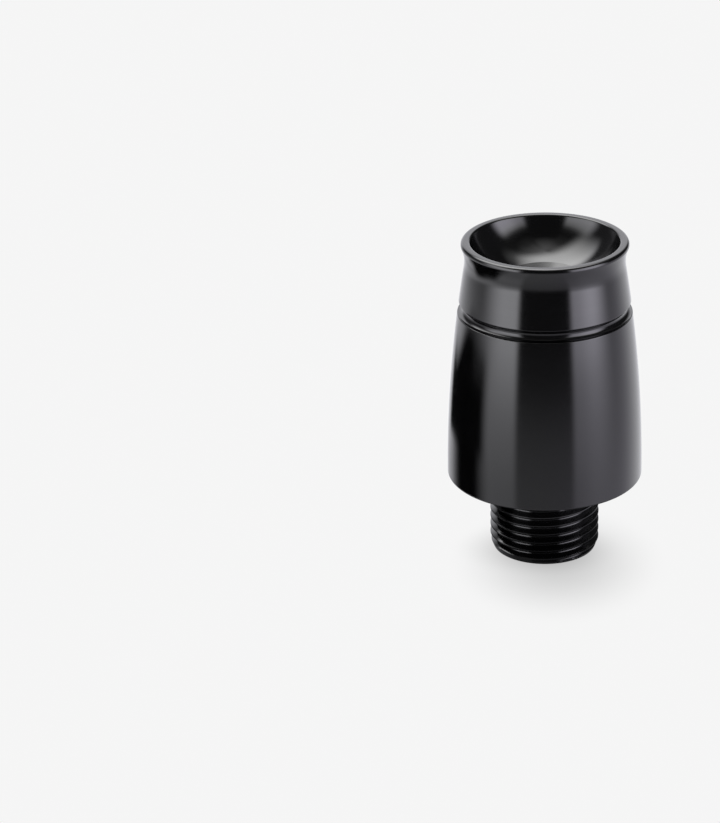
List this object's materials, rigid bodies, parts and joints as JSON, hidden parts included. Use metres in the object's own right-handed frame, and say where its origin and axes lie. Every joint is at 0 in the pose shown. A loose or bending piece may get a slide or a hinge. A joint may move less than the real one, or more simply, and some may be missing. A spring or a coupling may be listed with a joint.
{
  "type": "bar end weight",
  "caption": "Tapered round handlebar end weight with a flared, dished outer end, hexagon socket, a round groove and a threaded stud.",
  "frame": {"origin": "centre of the stud's end face, which the weight stands on", "axes": "+Z along the turning axis, from the stud's end up to the dished outer end; X runs through two corners of the hexagon socket"},
  "size_m": [0.032, 0.032, 0.0537],
  "materials": {
    "black_anodised": "gloss black anodised, fine turned"
  },
  "bodies": {
    "root": {"weight": "black_anodised"}
  },
  "joints": []
}
